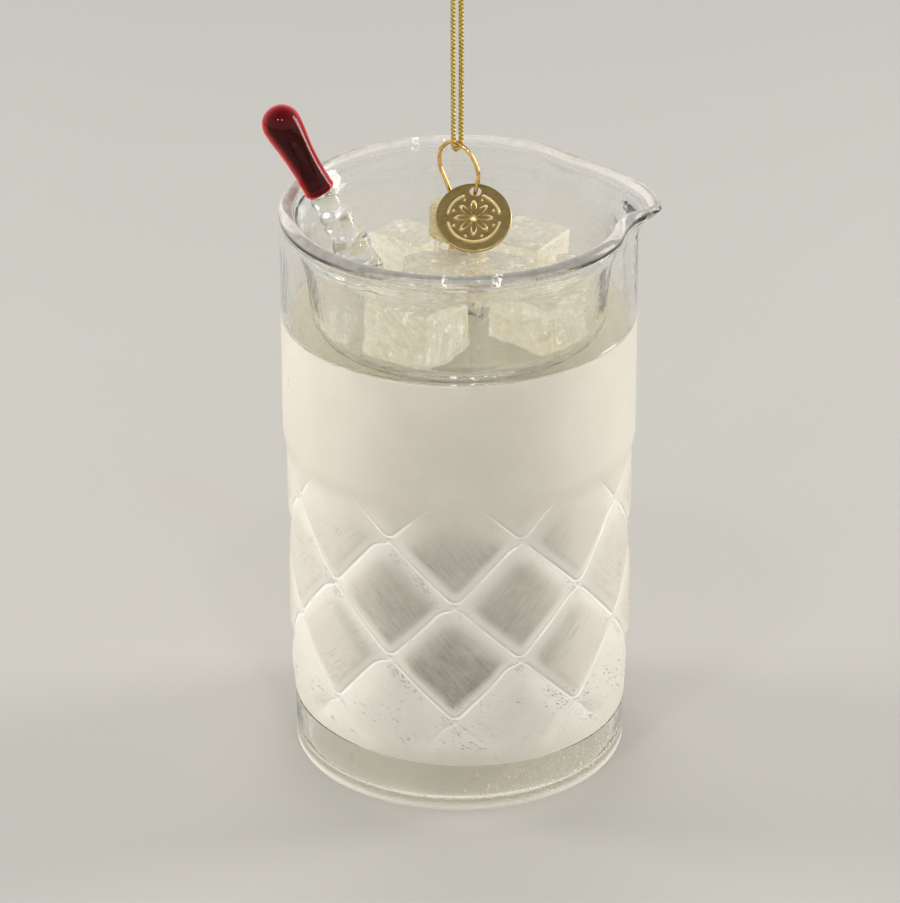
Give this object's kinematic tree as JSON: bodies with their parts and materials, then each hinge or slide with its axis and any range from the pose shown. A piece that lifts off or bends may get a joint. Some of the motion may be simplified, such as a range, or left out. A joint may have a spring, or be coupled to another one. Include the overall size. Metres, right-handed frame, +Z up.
{
  "type": "mixing glass ornament",
  "caption": "Hanging glass ornament shaped as a bar mixing glass: double wall, pouring lip, frosted diamond-cut belt, glass ice, twisted stirrer, cap, wire hanger, brass disc and cord.",
  "frame": {"origin": "centre of the foot's underside", "axes": "+Z up along the glass, +X towards the pouring lip"},
  "size_m": [0.063, 0.057, 0.1681],
  "materials": {
    "clear_glass": "polished clear blown glass, faint grey tint, fine seeds and swirls",
    "frosted_coat": "warm white frosted enamel on the glass, satin, thin and greyer in the middle of the cut diamonds",
    "ice_glass": "clear glass with fine crackle, slightly warm",
    "ruby_glass": "polished ruby glass",
    "gold_plate": "pale gold plated, fluted",
    "gold_wire": "polished gold wire",
    "antique_brass": "satin antique brass with polished raised lines",
    "gold_braid": "metallic gold braided cord"
  },
  "bodies": {
    "glass": {"glass_shell": "clear_glass", "frost_coat": "frosted_coat", "inner_cup": "clear_glass", "ice_cube_front_left": "ice_glass", "ice_cube_front_right": "ice_glass", "ice_cube_back_left": "ice_glass", "ice_cube_back_right": "ice_glass", "ice_cube_top": "ice_glass", "ice_chip_right": "ice_glass", "stirrer_stem": "clear_glass", "stirrer_tip": "ruby_glass"},
    "cap": {"hanger_cap": "gold_plate"},
    "wire": {"hanger_wire": "gold_wire"},
    "tag": {"tag_disc": "antique_brass"},
    "cord": {"hanging_cord": "gold_braid"}
  },
  "joints": [
    {"name": "cap_swivel", "type": "hinge", "parent": "glass", "child": "cap", "pos_m": [0, 0, 0.091], "axis": [0, 0, 1], "continuous": true},
    {"name": "wire_pull", "type": "slide", "parent": "cap", "child": "wire", "axis": [0, 0, 1], "range_m": [0, 0.005]},
    {"name": "tag_swing", "type": "hinge", "parent": "wire", "child": "tag", "pos_m": [0.00263, -0.00184, 0.09886], "axis": [-1, 0, 0], "range_deg": [0, 75]},
    {"name": "cord_swing", "type": "hinge", "parent": "wire", "child": "cord", "pos_m": [-0.00025, 0.00017, 0.10625], "axis": [0.8191, -0.5736, 0], "range_deg": [-70, 70]}
  ]
}
